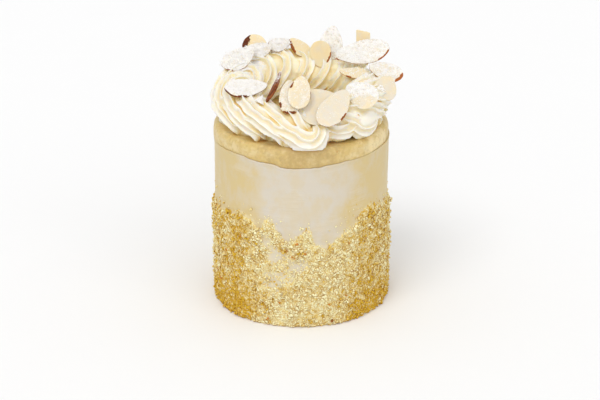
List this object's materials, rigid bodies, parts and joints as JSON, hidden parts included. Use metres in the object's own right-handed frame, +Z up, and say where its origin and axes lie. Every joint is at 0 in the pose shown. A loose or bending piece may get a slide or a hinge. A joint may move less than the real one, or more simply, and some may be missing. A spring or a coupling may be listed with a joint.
{
  "type": "mini almond cake",
  "caption": "Small round iced cake with a crumb coat, an almond custard layer, a piped ring of cream and sliced almonds on top.",
  "frame": {"origin": "centre of the cake's flat base, on the surface that it stands on", "axes": "+Z up along the axis of the cake, -Y towards the front, where the piping of the ring ends, +X to the right seen from the front"},
  "size_m": [0.0841, 0.0826, 0.1139],
  "materials": {
    "icing": "matte buttercream with cake crumbs",
    "custard": "satin baked custard",
    "cream": "satin piped cream",
    "almond": "matte, dusted with sugar"
  },
  "bodies": {
    "root": {"iced_cake": "icing", "custard_top": "custard", "piped_ring": "cream", "almond_rear_left": "almond", "almond_left_dusted": "almond", "almond_left_flat": "almond", "almond_rear_dusted": "almond", "almond_rear_rimmed": "almond", "almond_rear_tan": "almond", "almond_rear_tall": "almond", "almond_largest": "almond", "almond_chip_behind": "almond", "almond_right_rimmed": "almond", "almond_right_low": "almond", "almond_right_side": "almond", "almond_right_sugared": "almond", "almond_front_broad": "almond", "almond_front_hole": "almond", "almond_front_round": "almond", "almond_front_behind": "almond", "almond_front_edge": "almond", "almond_front_chip": "almond", "almond_front_left": "almond", "almond_back_1": "almond", "almond_back_2": "almond", "almond_back_3": "almond", "almond_back_4": "almond"}
  },
  "joints": []
}
